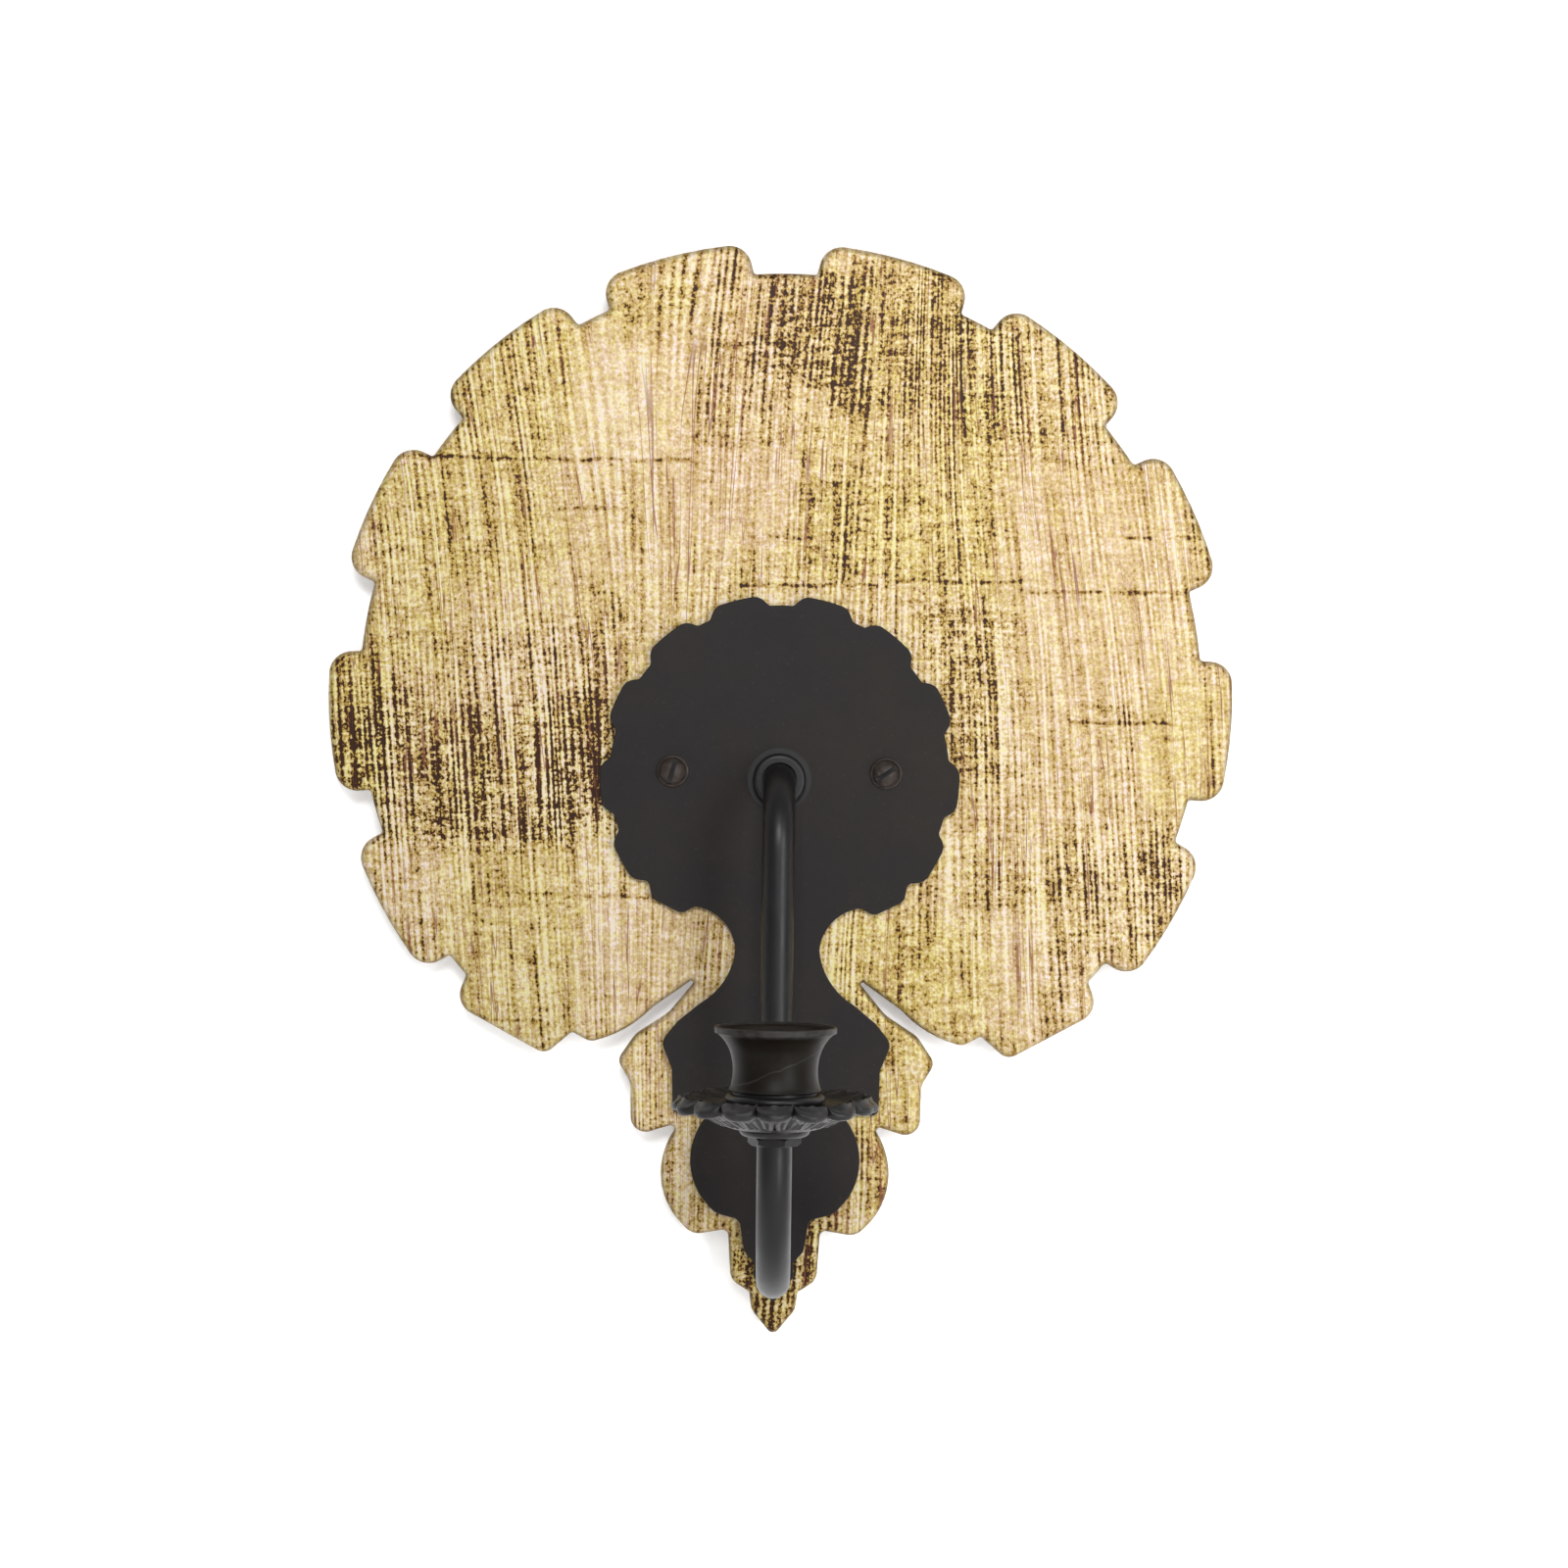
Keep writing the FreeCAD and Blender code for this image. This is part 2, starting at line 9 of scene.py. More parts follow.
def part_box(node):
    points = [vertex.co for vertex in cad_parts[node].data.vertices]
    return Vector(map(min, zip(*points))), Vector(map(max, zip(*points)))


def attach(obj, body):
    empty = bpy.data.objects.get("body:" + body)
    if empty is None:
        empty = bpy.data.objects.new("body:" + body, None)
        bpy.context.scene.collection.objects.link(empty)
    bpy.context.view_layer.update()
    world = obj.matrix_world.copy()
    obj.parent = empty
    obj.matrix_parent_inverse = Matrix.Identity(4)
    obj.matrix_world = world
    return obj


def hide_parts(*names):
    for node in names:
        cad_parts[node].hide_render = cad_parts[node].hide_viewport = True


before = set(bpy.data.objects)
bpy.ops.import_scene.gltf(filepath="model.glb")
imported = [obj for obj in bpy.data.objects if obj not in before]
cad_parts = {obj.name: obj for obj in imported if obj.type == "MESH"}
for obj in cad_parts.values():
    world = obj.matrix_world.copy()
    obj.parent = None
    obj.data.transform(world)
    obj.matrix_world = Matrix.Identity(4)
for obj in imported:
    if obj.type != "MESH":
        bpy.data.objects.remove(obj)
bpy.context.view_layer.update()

# Wall sconce candle holder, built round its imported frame.  Metres, +Z up; the wall is Y = 0.
MM = 0.001

# ---- where things are, from the frame -------------------------------------------------------
tube_low, tube_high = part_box("arm_tube")
pan_low, pan_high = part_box("drip_pan")
cup_low, cup_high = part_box("candle_cup")
panel_low, panel_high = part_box("gold_panel")
_, nut_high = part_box("cup_nut")

TUBE_R = (tube_high.x - tube_low.x) / 2
FRONT_LEG_Y = (cup_low.y + cup_high.y) / 2
PAN_R = (pan_high.x - pan_low.x) / 2
CUP_RIM_R = (cup_high.x - cup_low.x) / 2
TUBE_TOP_Z = nut_high.z + 0.2 * MM    # the tube's end stands just proud of the nut


def smooth_step(value, low, high):
    """0 at low, 1 at high and smooth between; low may be the larger."""
    share = min(1.0, max(0.0, (value - low) / (high - low)))
    return share * share * (3 - 2 * share)


# ---- camera ---------------------------------------------------------------------------------
CAMERA_DISTANCE = 1.017
CAMERA_X = 0.0015
CAMERA_Z = -0.0013
CAMERA_LEAN_DEG = 0.7         # the sconce hangs a little clockwise
FOCAL_MM = 70
SENSOR_MM = 36


def make_camera():
    lens = bpy.data.cameras.new("camera")
    lens.lens = FOCAL_MM
    lens.sensor_width = SENSOR_MM
    camera = bpy.data.objects.new("camera", lens)
    camera.location = (CAMERA_X, -CAMERA_DISTANCE, CAMERA_Z)
    camera.rotation_euler = (math.pi / 2, -math.radians(CAMERA_LEAN_DEG), 0)
    bpy.context.scene.collection.objects.link(camera)
    bpy.context.scene.camera = camera


# ---- node graphs ----------------------------------------------------------------------------
class Graph:
    """A material whose node graph is written as expressions."""

    def __init__(self, name, metallic=0.0, roughness=0.5, specular=0.5):
        self.material = bpy.data.materials.new(name)
        self.material.use_nodes = True
        self.tree = self.material.node_tree
        self.tree.nodes.clear()
        self.shader = self.tree.nodes.new("ShaderNodeBsdfPrincipled")
        self.shader.inputs["Metallic"].default_value = metallic
        self.shader.inputs["Roughness"].default_value = roughness
        self.shader.inputs["Specular IOR Level"].default_value = specular
        self.output = self.tree.nodes.new("ShaderNodeOutputMaterial")
        self.tree.links.new(self.shader.outputs[0], self.output.inputs["Surface"])
        coords = self.tree.nodes.new("ShaderNodeTexCoord")
        self.place = coords.outputs["Object"]
        self.normal = coords.outputs["Normal"]
        self.x, self.y, self.z = self.split(self.place)

    def node(self, kind, values, **settings):
        made = self.tree.nodes.new(kind)
        for key, value in settings.items():
            setattr(made, key, value)
        for key, value in values.items():
            self.feed(made.inputs[key], value)
        return made

    def feed(self, socket, value):
        if isinstance(value, bpy.types.NodeSocket):
            self.tree.links.new(value, socket)
        else:
            socket.default_value = value

    def split(self, vector):
        return self.node("ShaderNodeSeparateXYZ", {0: vector}).outputs

    def math(self, operation, a, b=0.0, c=0.0):
        return self.node("ShaderNodeMath", {0: a, 1: b, 2: c}, operation=operation).outputs[0]

    def add(self, a, b):
        return self.math("ADD", a, b)

    def times(self, a, b):
        return self.math("MULTIPLY", a, b)

    def plus_times(self, a, factor, b):
        """a * factor + b"""
        return self.math("MULTIPLY_ADD", a, factor, b)

    def step(self, value, low, high, out_low=0.0, out_high=1.0):
        """Smooth step of value from low to high; low may be the larger."""
        values = {"Value": value, "From Min": low, "From Max": high,
                  "To Min": out_low, "To Max": out_high}
        return self.node("ShaderNodeMapRange", values, interpolation_type="SMOOTHSTEP").outputs[0]

    def step_linear(self, value, low, high):
        """Share of the way from low to high, held between 0 and 1."""
        values = {"Value": value, "From Min": low, "From Max": high}
        return self.node("ShaderNodeMapRange", values).outputs[0]

    def noise(self, vector, scale=1.0, detail=2.0, rough=0.5):
        """Cloudy noise, mostly between 0.3 and 0.7."""
        values = {"Vector": vector, "Scale": scale, "Detail": detail, "Roughness": rough}
        return self.node("ShaderNodeTexNoise", values).outputs["Fac"]

    def streaks(self, across, scales, detail=2.0, rough=0.5):
        """Noise drawn out into streaks, which are longest along the axis of the lowest scale."""
        place = self.node("ShaderNodeCombineXYZ", {0: across, 1: self.y, 2: self.z}).outputs[0]
        scaled = self.node("ShaderNodeVectorMath", {0: place, 1: scales}, operation="MULTIPLY")
        return self.noise(scaled.outputs[0], 1.0, detail, rough)

    def off(self, value, middle):
        """Distance of a value from its middle."""
        return self.math("ABSOLUTE", self.add(value, -middle))

    def about_zero(self, noise, factor):
        """Noise shifted to swing about 0, times a factor."""
        return self.times(self.add(noise, -0.5), factor)

    def ramp(self, value, *stops):
        """Colour by value, through (position, colour) stops."""
        made = self.node("ShaderNodeValToRGB", {"Fac": value})
        elements = made.color_ramp.elements
        while len(elements) < len(stops):
            elements.new(0.5)
        for element, (position, colour) in zip(elements, stops):
            element.position = position
            element.color = (*colour, 1.0)
        return made.outputs["Color"]

    def mix(self, amount, a, b, blend="MIX"):
        made = self.tree.nodes.new("ShaderNodeMix")
        made.data_type = "RGBA"
        made.blend_type = blend
        for name, value in (("Factor_Float", amount), ("A_Color", a), ("B_Color", b)):
            socket = next(s for s in made.inputs if s.identifier == name)
            self.feed(socket, (*value, 1.0) if isinstance(value, tuple) else value)
        return next(s for s in made.outputs if s.identifier == "Result_Color")

    def bump(self, height, strength, distance):
        values = {"Height": height, "Strength": strength, "Distance": distance}
        made = self.node("ShaderNodeBump", values)
        self.tree.links.new(made.outputs[0], self.shader.inputs["Normal"])

    def wear(self):
        """How rubbed the metal is, painted on the mesh's points; on the cup's lip it also serves as a
        painted highlight.
        """
        return self.node("ShaderNodeAttribute", {}, attribute_name="wear").outputs["Fac"]

    def surface(self, colour, roughness=None, metallic=None):
        self.feed(self.shader.inputs["Base Color"], colour)
        if roughness is not None:
            self.feed(self.shader.inputs["Roughness"], roughness)
        if metallic is not None:
            self.feed(self.shader.inputs["Metallic"], metallic)
        return self.material


def srgb(red, green, blue):
    """A colour given as 0-255 sRGB, as linear values."""
    def linear(value):
        share = value / 255
        return share / 12.92 if share <= 0.04045 else ((share + 0.055) / 1.055) ** 2.4

    return linear(red), linear(green), linear(blue)


# ---- gilded panel ---------------------------------------------------------------------------
# The leaf's colours from its darkest flecks to its brightest streaks.
LEAF_COLOURS = (
    (0.00, srgb(56, 26, 0)),
    (0.05, srgb(114, 74, 0)),
    (0.12, srgb(154, 117, 30)),
    (0.27, srgb(193, 163, 92)),
    (0.50, srgb(217, 193, 140)),
    (0.75, srgb(239, 219, 174)),
    (0.92, srgb(252, 236, 200)),
    (1.00, srgb(255, 247, 224)),
)

LEAF_DEPTH = 0.48             # share of those colours' light that the leaf gives back
LEAF_TONE = 0.585             # where plain leaf lies in those colours
LEAF_CONTRAST = 0.92          # how far plain leaf swings through them
PINK_TINT = (1.055, 0.965, 1.18)
YELLOW_TINT = (1.00, 0.99, 0.60)
BOLE_RED = srgb(148, 84, 66)  # the red ground that shows in thin lines through the leaf
# olive-brown of the leaf's rounded edges: partly wear, partly painted shade of the bevel
RIM_WEAR_AND_SHADE = srgb(146, 118, 72)
BOARD_DARK, BOARD_LIGHT = srgb(92, 70, 46), srgb(124, 98, 66)
COMB_PITCH = 2.1 * MM         # spacing of the brush's hairs

# Patches of leaf, in mm: middle x and z, half width and half height, then how much lighter,
# how much more contrast and how much more olive (or pinker, below zero) each one is.
LEAF_PATCHES = (
    (-98, 2, 54, 22, -0.26, 0.60, 0.20),         # the worn band at the left
    (-66, -6, 16, 13, -0.14, 0.40, -0.10),
    (-104, -4, 10, 12, -0.10, 0.20, 0.10),
    (-128, 22, 9, 12, -0.12, 0.30, 0.00),
    (-80, 34, 26, 12, -0.10, 0.25, -0.35),
    (-140, 18, 11, 24, -0.16, 0.30, 0.95),       # left petal
    (-122, 72, 13, 32, -0.08, 0.10, 0.55),
    (-92, 84, 22, 20, -0.02, 0.00, 0.45),
    (-92, 128, 24, 23, -0.04, 0.05, 0.60),
    (-50, 128, 21, 22, 0.10, -0.25, -0.20),
    (-50, 84, 22, 22, 0.05, -0.15, -0.20),
    (-94, 60, 24, 8, 0.06, -0.10, -0.10),
    (-45, 154, 16, 9, -0.14, 0.10, 0.30),
    (-14, 92, 18, 18, 0.08, -0.20, -0.50),
    (-14, 134, 16, 32, -0.08, 0.05, -0.35),
    (6, 150, 14, 18, -0.16, 0.35, -0.10),        # worn top
    (38, 144, 22, 24, -0.22, 0.25, 0.40),
    (66, 136, 10, 22, -0.24, 0.40, 0.45),
    (90, 130, 18, 20, -0.12, 0.20, 0.10),
    (30, 110, 22, 9, -0.02, 0.05, 0.25),
    (36, 81, 34, 18, -0.10, 0.15, 0.70),
    (62, 112, 12, 14, -0.14, 0.15, 0.60),
    (104, 66, 30, 38, 0.05, -0.24, -0.30),
    (128, 96, 12, 16, -0.04, 0.05, 0.20),
    (62, 32, 14, 28, -0.14, 0.35, 0.15),
    (96, 6, 26, 22, 0.01, -0.12, -0.30),
    (132, 14, 14, 22, 0.00, -0.16, 0.45),
    (112, 21, 9, 4, -0.18, 0.10, 0.10),
    (86, -34, 26, 7, -0.12, 0.15, 0.05),
    (112, -40, 18, 20, -0.10, 0.20, -0.10),
    (129, -24, 6, 14, -0.22, 0.40, -0.10),
    (34, -62, 18, 18, -0.06, 0.10, 0.75),
    (60, -66, 9, 20, 0.02, 0.00, 0.60),
    (78, -64, 10, 22, 0.10, -0.15, -0.20),
    (96, -70, 8, 14, -0.06, 0.05, -0.40),
    (-86, -54, 22, 32, 0.04, 0.00, 0.55),
    (-122, -38, 14, 18, 0.04, 0.05, -0.30),
    (-44, -60, 20, 20, 0.10, -0.22, -0.35),
    (-44, -98, 14, 18, 0.06, -0.10, 0.05),
    (40, -100, 14, 18, -0.08, 0.05, 0.55),
    (-34, -130, 12, 16, -0.04, 0.10, -0.10),
    (26, -130, 12, 16, -0.14, 0.05, 0.30),
    (0, -168, 22, 18, -0.26, 0.60, 0.60),        # tip
)

# Where one leaf overlaps the next: height, then the x where the line starts and ends, in mm.
LEAF_SEAMS = (
    (105, -133, -29), (64, -16, 35), (66, 35, 80), (63, 80, 137), (20, 95, 130), (81, 112, 135),
    (143, -20, 6), (88, -76, -52), (80, -12, 10), (25, -70, -48), (-80, -114, -74), (-39, -80, -30),
)

# Lean of the brush strokes by x in mm: x shift per unit of height.
STROKE_LEAN = (
    (-150, 0.12), (-70, 0.11), (-25, -0.04), (30, -0.05), (60, 0.05), (110, 0.10), (150, 0.04),
)


def stroke_x(g):
    """X bent so that lines of equal value follow the brush strokes."""
    half_width, steepest = 0.15, 0.2
    across = g.step_linear(g.x, -half_width, half_width)
    stops = []
    for x, lean in STROKE_LEAN:
        grey = 0.5 + lean / steepest
        stops.append(((x * MM + half_width) / (2 * half_width), (grey, grey, grey)))
    lean = g.times(g.add(g.ramp(across, *stops), -0.5), steepest)
    straightened = g.plus_times(lean, g.z, g.x)
    drift = g.noise(g.place, 6.0, 0.0)
    return g.plus_times(drift, 14 * MM, straightened)


def edge_shift(here, broad_seed, fine_seed):
    """How far the patches' edges wander at a point: broad bends, and finer ones on them."""
    broad = wave.noise(here * 24 + Vector(broad_seed))
    fine = wave.noise(here * 90 + Vector(fine_seed))
    return 6 * MM * broad + 3 * MM * fine


def leaf_field(x, z):
    """Sum of the patches at a point of the panel's front: lighter, contrast, olive."""
    squareness = 6                # 2 would make each patch an ellipse
    edge, full = 1.22, 0.82       # where a patch ends and where it's at its full, in half sizes
    here = Vector((x, 0, z))
    x += edge_shift(here, (0, 0, 0), (0, 0, 0))
    z += edge_shift(here, (5, 7, 3), (9, 1, 4))
    total = Vector((0, 0, 0))
    for middle_x, middle_z, half_x, half_z, lighter, contrast, olive in LEAF_PATCHES:
        across, along = abs(x / MM - middle_x) / half_x, abs(z / MM - middle_z) / half_z
        outside = (across ** squareness + along ** squareness) ** (1 / squareness)
        total += Vector((lighter, contrast, olive)) * smooth_step(outside, edge, full)
    return total


def leaf_seams(g):
    """1 on the thin dark lines where leaves overlap, broken up along their length."""
    wobble = g.plus_times(g.noise(g.place, 60.0, 3.0), 4 * MM, -2 * MM)
    height = g.add(g.z, wobble)
    fade = 4 * MM
    lines = 0.0
    for z, start, end in LEAF_SEAMS:
        thin = g.step(g.off(height, z * MM), 1.1 * MM, 0.1 * MM)
        middle, half = (start + end) / 2 * MM, (end - start) / 2 * MM
        within = g.step(g.off(g.x, middle), half + fade, half - fade)
        lines = g.plus_times(thin, within, lines)
    breaks = g.step(g.noise(g.place, 260.0, 2.0), 0.32, 0.56)
    return g.times(lines, breaks)


def gilding():
    """Brushed imitation gold leaf in front, bare board behind."""
    g = Graph("gold_leaf", specular=0.2)
    across = stroke_x(g)
    painted = g.node("ShaderNodeAttribute", {}, attribute_name="leaf").outputs["Vector"]
    lighter, contrast, olive = g.split(painted)
    fine = g.streaks(across, (600, 90, 18), 2.0, 0.6)
    broad = g.streaks(across, (230, 60, 9))
    grain = g.noise(g.place, 950.0, 1.5, 0.7)
    weave = g.streaks(g.x, (110, 110, 640), 1.0)
    clumps = g.streaks(across, (420, 200, 110), 3.0, 0.6)

    # the comb of the brush, in tracks that come and go
    bend = g.times(g.streaks(across, (110, 60, 9), 1.0), 16.0)
    comb = g.math("SINE", g.plus_times(across, 2 * math.pi / COMB_PITCH, bend))
    tracks = g.step(g.streaks(across, (70, 60, 16), 1.0), 0.36, 0.60, 0.06, 0.28)

    # the tone: streaks and flecks, as strong and as light as the patch says, less the seams
    strokes = g.add(g.about_zero(fine, 2.0), g.about_zero(broad, 0.5))
    strokes = g.plus_times(comb, tracks, strokes)
    flecks = g.add(g.about_zero(grain, 2.0), g.about_zero(clumps, 0.55))
    flecks = g.plus_times(g.add(weave, -0.5), 0.8, flecks)
    strength = g.math("MAXIMUM", g.add(contrast, LEAF_CONTRAST), 0.4)
    tone = g.add(g.times(g.add(strokes, flecks), strength), g.add(lighter, LEAF_TONE))
    tone = g.math("SUBTRACT", tone, g.times(leaf_seams(g), 0.50))
    colour = g.ramp(g.step_linear(tone, 0.0, 1.0), *LEAF_COLOURS)

    # yellow flecks among pinkish cream ones
    speck = g.noise(g.place, 760.0, 1.0)
    drifting = g.plus_times(g.add(clumps, -0.5), 1.6, g.times(olive, 0.75))
    hue = g.step_linear(g.plus_times(g.add(speck, -0.5), 3.4, drifting), -1.0, 1.0)
    colour = g.mix(1.0, colour, g.mix(hue, PINK_TINT, YELLOW_TINT), "MULTIPLY")

    # thin red lines of the ground
    bole = g.off(g.streaks(across, (430, 60, 10), 1.0), 0.5)
    red_lines = g.step(bole, 0.018, 0.003)
    red_share = g.step(g.streaks(across, (60, 60, 30)), 0.38, 0.60, 0.10, 0.80)
    colour = g.mix(g.times(red_lines, red_share), colour, BOLE_RED)

    # rounded edges painted darker olive-brown, partly wear and partly painted shade of the bevel, and the
    # board's bare back
    facing = g.split(g.normal)[1]
    rim = g.step(facing, -0.985, -0.55)
    rim_wear_and_shade = g.times(rim, g.step(g.noise(g.place, 90.0, 3.0), 0.30, 0.62, 0.15, 0.70))
    colour = g.mix(rim_wear_and_shade, colour, RIM_WEAR_AND_SHADE)
    back = g.step(facing, 0.6, 0.9)
    board_grain = g.streaks(g.x, (60, 60, 900), 3.0)
    board = g.mix(g.step(board_grain, 0.35, 0.65), BOARD_DARK, BOARD_LIGHT)
    colour = g.mix(back, colour, board)

    colour = g.mix(1.0, colour, (LEAF_DEPTH, LEAF_DEPTH, LEAF_DEPTH), "MULTIPLY")
    g.bump(g.add(tone, g.times(grain, 0.3)), 0.25, 0.12 * MM)
    roughness = g.plus_times(fine, 0.25, 0.38)
    metallic = g.step(back, 1.0, 0.0, 0.0, 0.30)
    return g.surface(colour, g.math("MAXIMUM", roughness, g.times(back, 0.8)), metallic)


# ---- dark metals ----------------------------------------------------------------------------
def plate_finish():
    """Matt black patina with a faint warm and cool mottle and rubbed edges."""
    g = Graph("dark_plate_finish", specular=0.10)
    cloud = g.noise(g.place, 26.0, 4.0, 0.6)
    speck = g.noise(g.place, 900.0, 2.0)
    colour = g.ramp(cloud, (0.30, (0.0105, 0.0095, 0.0105)), (0.52, (0.0138, 0.0118, 0.0112)),
                    (0.72, (0.0168, 0.0140, 0.0120)))
    colour = g.mix(g.step(speck, 0.62, 0.80, 0.0, 0.35), colour, (0.035, 0.032, 0.030))
    facing = g.split(g.normal)[1]
    edge = g.step(facing, -0.97, -0.60, 0.0, 0.5)
    colour = g.mix(edge, colour, (0.050, 0.045, 0.040))
    g.bump(g.add(g.noise(g.place, 260.0, 3.0), g.times(speck, 0.25)), 0.12, 0.15 * MM)
    return g.surface(colour, g.plus_times(cloud, 0.22, 0.42))


def black_patina(name, base, warm, worn, roughness, bump):
    """Dark patina on turned or cast metal, with lighter metal where it's rubbed."""
    g = Graph(name, specular=0.26)
    cloud = g.noise(g.place, 120.0, 4.0, 0.6)
    speck = g.noise(g.place, 1400.0, 2.0)
    colour = g.mix(g.step(cloud, 0.35, 0.68), base, warm)
    rub = g.times(g.wear(), g.step(g.noise(g.place, 420.0, 3.0), 0.30, 0.62, 0.25, 1.0))
    colour = g.mix(rub, colour, worn)
    g.bump(g.add(g.noise(g.place, 480.0, 3.0), g.times(speck, 0.4)), bump, 0.2 * MM)
    return g.surface(colour, g.plus_times(cloud, 0.25, roughness))


def arm_black():
    return black_patina("arm_black", base=(0.0034, 0.0032, 0.0042), warm=(0.0046, 0.0042, 0.0050),
                        worn=(0.030, 0.028, 0.027), roughness=0.30, bump=0.15)


def cast_patina():
    return black_patina("cast_patina", base=(0.0042, 0.0039, 0.0043), warm=(0.0075, 0.0066, 0.0064),
                        worn=(0.036, 0.034, 0.033), roughness=0.32, bump=0.45)


def cup_patina():
    """Brown-black patina with olive and reddish clouds and one fine scratch."""
    g = Graph("cup_patina", specular=0.11)
    cloud = g.noise(g.place, 85.0, 4.0, 0.6)
    colour = g.ramp(cloud, (0.30, (0.0034, 0.0026, 0.0024)), (0.45, (0.0064, 0.0038, 0.0030)),
                    (0.58, (0.0066, 0.0056, 0.0038)), (0.75, (0.0090, 0.0072, 0.0050)))
    # lighter where the mesh is rubbed; on the lip this lightness is also a painted highlight
    rub = g.times(g.wear(), g.step(g.noise(g.place, 300.0, 3.0), 0.30, 0.60, 0.35, 1.0))
    colour = g.mix(rub, colour, (0.026, 0.024, 0.023))

    # the scratch climbs to the right across the front of the waist
    slope, start_z = 0.42, cup_low.z + 8.6 * MM
    scratch = g.plus_times(g.x, -slope, g.z)
    scratch = g.plus_times(g.noise(g.place, 130.0, 2.0), 4 * MM, scratch)
    thin = g.step(g.off(scratch, start_z), 0.35 * MM, 0.05 * MM)
    in_front = g.step(g.y, FRONT_LEG_Y - 4 * MM, FRONT_LEG_Y - 8 * MM)
    colour = g.mix(g.times(g.times(thin, in_front), 0.35), colour, (0.05, 0.045, 0.04))

    g.bump(g.noise(g.place, 350.0, 4.0), 0.10, 0.2 * MM)
    return g.surface(colour, g.plus_times(cloud, 0.20, 0.34))


# Lean of each screw's slot, in degrees from +X towards +Z.
SCREW_SLOTS = (("mounting_screw_left", 74), ("mounting_screw_right", 33))
# near-black painted shade for the inside of each screw's slot
SLOT_PAINTED_SHADE = (0.0020, 0.0016, 0.0014)


def screw_patina():
    """Brown patina over steel, with painted shade in the two screws' slots."""
    g = Graph("screw_patina", metallic=0.2, specular=0.3)
    cloud = g.noise(g.place, 380.0, 4.0, 0.6)
    colour = g.ramp(cloud, (0.30, (0.012, 0.0085, 0.007)), (0.52, (0.028, 0.020, 0.016)),
                    (0.74, (0.055, 0.043, 0.035)))
    for name, slot_deg in SCREW_SLOTS:
        screw_low, screw_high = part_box(name)
        middle = (screw_low + screw_high) / 2
        across_x = math.sin(math.radians(slot_deg))
        across_z = -math.cos(math.radians(slot_deg))
        from_slot = g.plus_times(g.x, across_x, -middle.x * across_x - middle.z * across_z)
        from_slot = g.math("ABSOLUTE", g.plus_times(g.z, across_z, from_slot))
        # a strip along the slot, inside the head, painted near-black as the slot's shade
        in_slot = g.step(from_slot, 0.80 * MM, 0.66 * MM)
        in_head = g.step(g.y, screw_low.y + 2.6 * MM, screw_low.y + 2.2 * MM)
        this_screw = g.step(g.off(g.x, middle.x), 8 * MM, 7 * MM)
        colour = g.mix(g.times(g.times(in_slot, in_head), this_screw), colour, SLOT_PAINTED_SHADE)
    g.bump(g.noise(g.place, 900.0, 3.0), 0.25, 0.2 * MM)
    return g.surface(colour, g.plus_times(cloud, 0.2, 0.44))


def zinc_steel():
    """Zinc-plated steel: fine drawn lines and a faint spangle."""
    g = Graph("zinc_steel", metallic=0.9)
    lines = g.streaks(g.x, (40, 700, 1500), 3.0)
    spangle = g.node("ShaderNodeTexVoronoi", {"Vector": g.place, "Scale": 260.0}).outputs["Color"]
    shade = g.step(g.split(spangle)[0], 0.0, 1.0)
    colour = g.mix(shade, (0.40, 0.40, 0.39), (0.56, 0.56, 0.53))
    stain = g.step(g.noise(g.place, 45.0, 4.0), 0.55, 0.75, 0.0, 0.5)
    colour = g.mix(stain, colour, (0.34, 0.31, 0.26))
    g.bump(lines, 0.15, 0.1 * MM)
    return g.surface(colour, g.plus_times(lines, 0.25, 0.26))


def rubber():
    """Black moulded rubber with dust in its texture."""
    g = Graph("rubber", specular=0.3)
    dust = g.noise(g.place, 700.0, 4.0, 0.7)
    colour = g.ramp(dust, (0.35, (0.010, 0.010, 0.011)), (0.60, (0.022, 0.021, 0.020)),
                    (0.78, (0.060, 0.056, 0.050)))
    g.bump(dust, 0.3, 0.1 * MM)
    return g.surface(colour, g.plus_times(dust, 0.2, 0.62))


# ---- mesh helpers ---------------------------------------------------------------------------
def from_level(level, pairs):
    """(r, z) points in metres, from radius and height over a level, both in mm."""
    return [(r * MM, level + z * MM) for r, z in pairs]


def blend_run(points, steps):
    """Points on a smooth curve through the given (r, z) points."""
    ends = [points[0]] + list(points) + [points[-1]]
    run = []
    for before, start, end, after in zip(ends, ends[1:], ends[2:], ends[3:]):
        for k in range(steps):
            t = k / steps
            run.append(tuple(
                0.5 * (2 * b + (c - a) * t + (2 * a - 5 * b + 4 * c - d) * t ** 2
                       + (3 * b - a - 3 * c + d) * t ** 3)
                for a, b, c, d in zip(before, start, end, after)))
    return run + [tuple(points[-1])]


def rounded(corners, steps=4):
    """A closed (r, z) loop whose corners (r, z, radius) are rounded off."""
    loop = []
    for k, (r, z, radius) in enumerate(corners):
        here = Vector((r, z))
        if radius <= 0:
            loop.append((r, z))
            continue
        before = Vector(corners[k - 1][:2]) - here
        after = Vector(corners[(k + 1) % len(corners)][:2]) - here
        start = here + before.normalized() * min(radius, before.length / 2)
        end = here + after.normalized() * min(radius, after.length / 2)
        for j in range(steps + 1):
            t = j / steps
            point = start * (1 - t) ** 2 + here * 2 * t * (1 - t) + end * t ** 2
            loop.append((point.x, point.y))
    return loop


